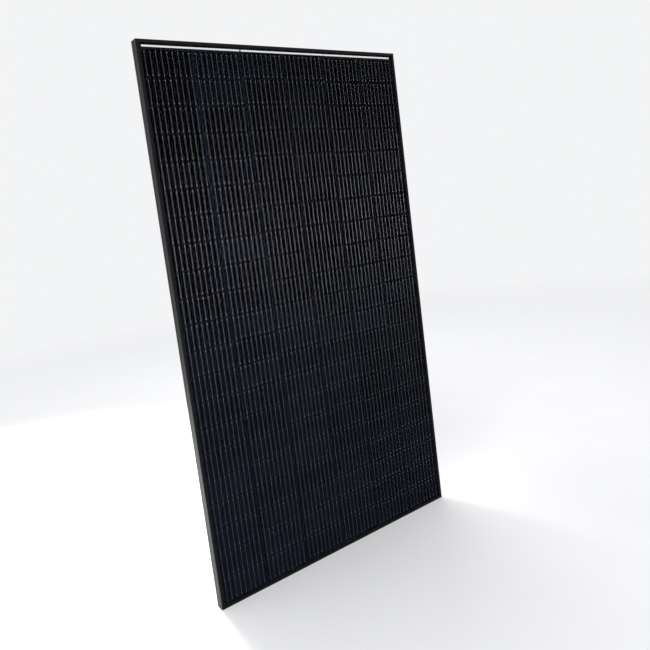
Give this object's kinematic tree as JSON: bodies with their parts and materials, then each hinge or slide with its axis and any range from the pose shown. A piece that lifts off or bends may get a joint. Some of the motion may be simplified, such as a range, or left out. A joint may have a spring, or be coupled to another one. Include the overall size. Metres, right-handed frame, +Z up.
{
  "type": "solar panel",
  "caption": "Framed all-black photovoltaic module: half-cut cells under glass in a mitred aluminium frame, with a rear junction box whose lid hinges open.",
  "frame": {"origin": "centre of the rear mounting plane, which the frame's rear flanges lie in", "axes": "+Z up along the long side, -Y out of the glass, +X to the right seen from the glass side"},
  "size_m": [1.038, 0.035, 1.829],
  "materials": {
    "frame_anodised": "black anodised, fine satin",
    "key_aluminium": "mill finish",
    "silicone": "matt black silicone",
    "solar_glass": "low-iron glass with an anti-reflection coat",
    "encapsulant": "clear film",
    "silicon_cell": "near black with a blue cast",
    "tinned_wire": "tinned copper, dull silver",
    "tinned_ribbon": "bright tinned copper",
    "black_film": "matt black film",
    "rear_film": "satin black film",
    "label_paper": "blank matt silver-white label",
    "box_plastic": "fine-grained black moulding",
    "gasket_rubber": "matt black",
    "terminal_copper": "tinned copper plate",
    "diode_epoxy": "black epoxy",
    "spring_steel": "bright spring steel"
  },
  "bodies": {
    "panel": {"frame_rail_left": "frame_anodised", "frame_rail_right": "frame_anodised", "frame_rail_top": "frame_anodised", "frame_rail_bottom": "frame_anodised", "corner_key_top_left": "key_aluminium", "corner_key_top_right": "key_aluminium", "corner_key_bottom_left": "key_aluminium", "corner_key_bottom_right": "key_aluminium", "edge_sealant": "silicone", "junction_box_adhesive": "silicone", "front_glass": "solar_glass", "front_encapsulant": "encapsulant", "cell_string_1": "silicon_cell", "cell_string_2": "silicon_cell", "cell_string_3": "silicon_cell", "cell_string_4": "silicon_cell", "cell_string_5": "silicon_cell", "cell_string_6": "silicon_cell", "string_wires_1": "tinned_wire", "string_wires_2": "tinned_wire", "string_wires_3": "tinned_wire", "string_wires_4": "tinned_wire", "string_wires_5": "tinned_wire", "string_wires_6": "tinned_wire", "top_ribbon_1": "tinned_ribbon", "top_ribbon_2": "tinned_ribbon", "top_ribbon_3": "tinned_ribbon", "bottom_ribbon_1": "tinned_ribbon", "bottom_ribbon_2": "tinned_ribbon", "bottom_ribbon_3": "tinned_ribbon", "bottom_ribbon_4": "tinned_ribbon", "ribbon_insulation": "black_film", "rear_encapsulant": "black_film", "backsheet": "rear_film", "rating_label": "label_paper", "junction_box_base": "box_plastic", "gland_body_left": "box_plastic", "gland_body_right": "box_plastic", "gland_nut_left": "box_plastic", "gland_nut_right": "box_plastic", "gland_seal_left": "gasket_rubber", "gland_seal_right": "gasket_rubber", "terminal_1": "terminal_copper", "terminal_2": "terminal_copper", "terminal_3": "terminal_copper", "terminal_4": "terminal_copper", "bypass_diode_1": "diode_epoxy", "bypass_diode_2": "diode_epoxy", "bypass_diode_3": "diode_epoxy", "bypass_diode_leads": "spring_steel", "ribbon_clamps": "spring_steel"},
    "box_lid": {"junction_box_lid": "box_plastic", "lid_gasket": "gasket_rubber"}
  },
  "joints": [
    {"name": "lid_hinge", "type": "hinge", "parent": "panel", "child": "box_lid", "pos_m": [0, -0.0098, -0.7444], "axis": [1, 0, 0], "range_deg": [0, 100]}
  ]
}
